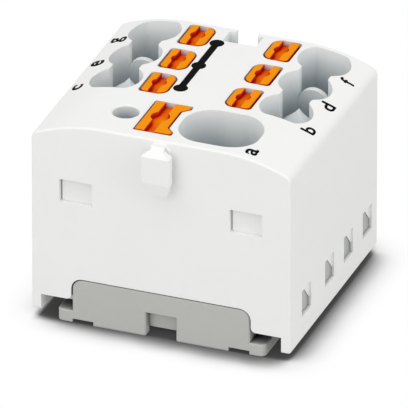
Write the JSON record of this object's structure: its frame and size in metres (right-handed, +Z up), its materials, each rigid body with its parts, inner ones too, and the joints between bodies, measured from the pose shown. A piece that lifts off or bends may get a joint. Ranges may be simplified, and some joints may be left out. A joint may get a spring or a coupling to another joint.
{
  "type": "push-in power distribution block",
  "caption": "White push-in power distribution block with wire wells and orange release buttons on top, a grey base, and a coupling lug and slot.",
  "frame": {"origin": "on the underside of the grey mounting base, in the middle of the base in plan", "axes": "+Z up, towards the face with the wire wells and buttons; +X to the right along the front face; +Y from the front face, which has the coupling lug, to the back face, which has the coupling slot"},
  "size_m": [0.0266, 0.0256, 0.0217],
  "materials": {
    "white_plastic": "fine matt moulded",
    "carrier_plastic": "fine matt moulded",
    "grey_plastic": "fine matt moulded",
    "orange_plastic": "satin moulded",
    "tinned_metal": "tinned, satin",
    "spring_steel": "rolled strip"
  },
  "bodies": {
    "block": {"housing": "white_plastic", "contact_carrier": "carrier_plastic", "mounting_base": "grey_plastic", "current_bar": "tinned_metal", "clamping_spring_a": "spring_steel", "clamping_spring_b": "spring_steel", "clamping_spring_c": "spring_steel", "clamping_spring_d": "spring_steel", "clamping_spring_e": "spring_steel", "clamping_spring_f": "spring_steel", "clamping_spring_g": "spring_steel"},
    "button_a": {"push_button_a": "orange_plastic"},
    "button_b": {"push_button_b": "orange_plastic"},
    "button_c": {"push_button_c": "orange_plastic"},
    "button_d": {"push_button_d": "orange_plastic"},
    "button_e": {"push_button_e": "orange_plastic"},
    "button_f": {"push_button_f": "orange_plastic"},
    "button_g": {"push_button_g": "orange_plastic"}
  },
  "joints": [
    {"name": "press_a", "type": "slide", "parent": "block", "child": "button_a", "axis": [0, 0, -1], "range_m": [0, 0.0015], "stiffness_N_per_m": 1500, "springref_m": -0.0005, "deforming": ["clamping_spring_a"]},
    {"name": "press_b", "type": "slide", "parent": "block", "child": "button_b", "axis": [0, 0, -1], "range_m": [0, 0.0015], "stiffness_N_per_m": 1000, "springref_m": -0.0005, "deforming": ["clamping_spring_b"]},
    {"name": "press_c", "type": "slide", "parent": "block", "child": "button_c", "axis": [0, 0, -1], "range_m": [0, 0.0015], "stiffness_N_per_m": 1000, "springref_m": -0.0005, "deforming": ["clamping_spring_c"]},
    {"name": "press_d", "type": "slide", "parent": "block", "child": "button_d", "axis": [0, 0, -1], "range_m": [0, 0.0015], "stiffness_N_per_m": 1000, "springref_m": -0.0005, "deforming": ["clamping_spring_d"]},
    {"name": "press_e", "type": "slide", "parent": "block", "child": "button_e", "axis": [0, 0, -1], "range_m": [0, 0.0015], "stiffness_N_per_m": 1000, "springref_m": -0.0005, "deforming": ["clamping_spring_e"]},
    {"name": "press_f", "type": "slide", "parent": "block", "child": "button_f", "axis": [0, 0, -1], "range_m": [0, 0.0015], "stiffness_N_per_m": 1000, "springref_m": -0.0005, "deforming": ["clamping_spring_f"]},
    {"name": "press_g", "type": "slide", "parent": "block", "child": "button_g", "axis": [0, 0, -1], "range_m": [0, 0.0015], "stiffness_N_per_m": 1000, "springref_m": -0.0005, "deforming": ["clamping_spring_g"]}
  ]
}
